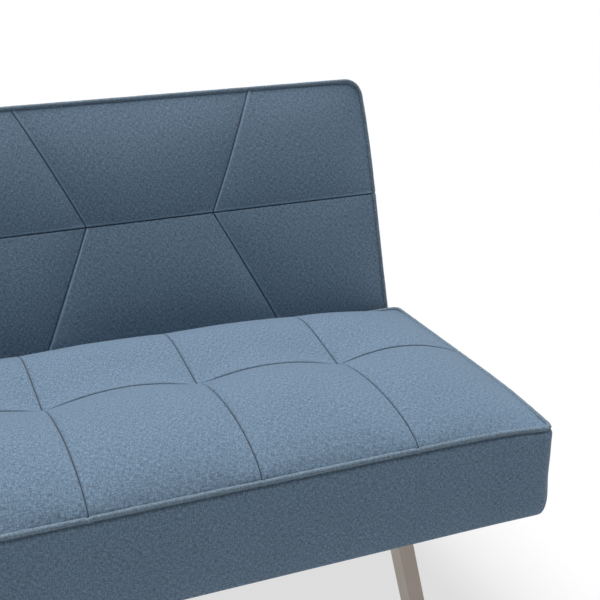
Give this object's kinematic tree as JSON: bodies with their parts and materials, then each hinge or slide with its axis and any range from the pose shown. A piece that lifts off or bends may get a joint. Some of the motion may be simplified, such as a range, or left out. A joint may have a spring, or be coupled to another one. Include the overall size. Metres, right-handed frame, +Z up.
{
  "type": "futon sofa bed",
  "caption": "Armless click-clack sofa bed: tufted slate-blue seat and hinged back that folds flat, piped edges, splayed rectangular metal legs.",
  "frame": {"origin": "middle of the sofa's footprint on the floor, in the upright sofa position", "axes": "+X across the sofa to the right of a viewer who faces its front, +Y from the front to the back, +Z up"},
  "size_m": [1.68, 0.7794, 0.7738],
  "materials": {
    "blue_fabric": "matte",
    "piping_fabric": "matte",
    "foam": "matte",
    "felt": "matte",
    "black_lining": "matte",
    "webbing": "matte",
    "twine": "matte",
    "timber": "matte",
    "leg_metal": "satin",
    "rail_metal": "satin",
    "hinge_steel": "satin",
    "zinc": "satin",
    "spring_steel": "satin",
    "rubber": "matte",
    "black_plastic": "matte"
  },
  "bodies": {
    "base": {"front_right_leg": "leg_metal", "front_left_leg": "leg_metal", "rear_right_leg": "leg_metal", "rear_left_leg": "leg_metal", "leg_feet": "black_plastic", "leg_plates": "leg_metal", "leg_bolts": "zinc", "right_side_rail": "rail_metal", "left_side_rail": "rail_metal", "front_cross_rail": "rail_metal", "middle_cross_rail": "rail_metal", "rest_rail": "rail_metal", "rail_end_caps": "black_plastic", "rest_pads": "rubber", "seat_fixing_bolts": "zinc", "seat_piping": "piping_fabric", "seat_cover": "blue_fabric", "seat_foam": "foam", "seat_front_board": "timber", "seat_rear_board": "timber", "seat_end_boards": "timber", "seat_leg_blocks": "timber", "seat_ribs": "timber", "seat_dust_cover": "black_lining", "seat_felt_pad": "felt", "seat_springs": "spring_steel", "spring_clips": "spring_steel", "seat_tuft_ties": "twine", "seat_tuft_anchors": "black_plastic", "right_hinge_bracket": "hinge_steel", "left_hinge_bracket": "hinge_steel", "pivot_bolts": "zinc", "pivot_washers": "zinc", "pivot_nuts": "zinc", "hinge_foot_bolts": "zinc", "pawl_pins": "zinc", "pawl_springs": "spring_steel"},
    "back": {"back_cover": "blue_fabric", "back_foam": "foam", "back_rear_pad": "foam", "back_rear_panel": "blue_fabric", "back_piping": "piping_fabric", "back_top_rail": "timber", "back_bottom_rail": "timber", "back_end_stiles": "timber", "back_hinge_stiles": "timber", "back_middle_stile": "timber", "back_webbing": "webbing", "back_tuft_ties": "twine", "back_tuft_anchors": "black_plastic", "right_hinge_arm": "hinge_steel", "left_hinge_arm": "hinge_steel", "hinge_arm_bolts": "zinc", "hinge_arm_nuts": "zinc"},
    "right_pawl": {"right_pawl": "hinge_steel"},
    "left_pawl": {"left_pawl": "hinge_steel"}
  },
  "joints": [
    {"name": "recline", "type": "hinge", "parent": "base", "child": "back", "pos_m": [0, 0.16622, 0.323], "axis": [-1, 0, 0], "range_deg": [-6, 71]},
    {"name": "right_pawl_lift", "type": "hinge", "parent": "base", "child": "right_pawl", "pos_m": [0.60885, 0.14465, 0.28859], "axis": [1, 0, 0], "range_deg": [0, 12], "stiffness_Nm_per_rad": 0.05, "springref_deg": -11.46},
    {"name": "left_pawl_lift", "type": "hinge", "parent": "base", "child": "left_pawl", "pos_m": [-0.60885, 0.14465, 0.28859], "axis": [1, 0, 0], "range_deg": [0, 12], "stiffness_Nm_per_rad": 0.05, "springref_deg": -11.46}
  ]
}
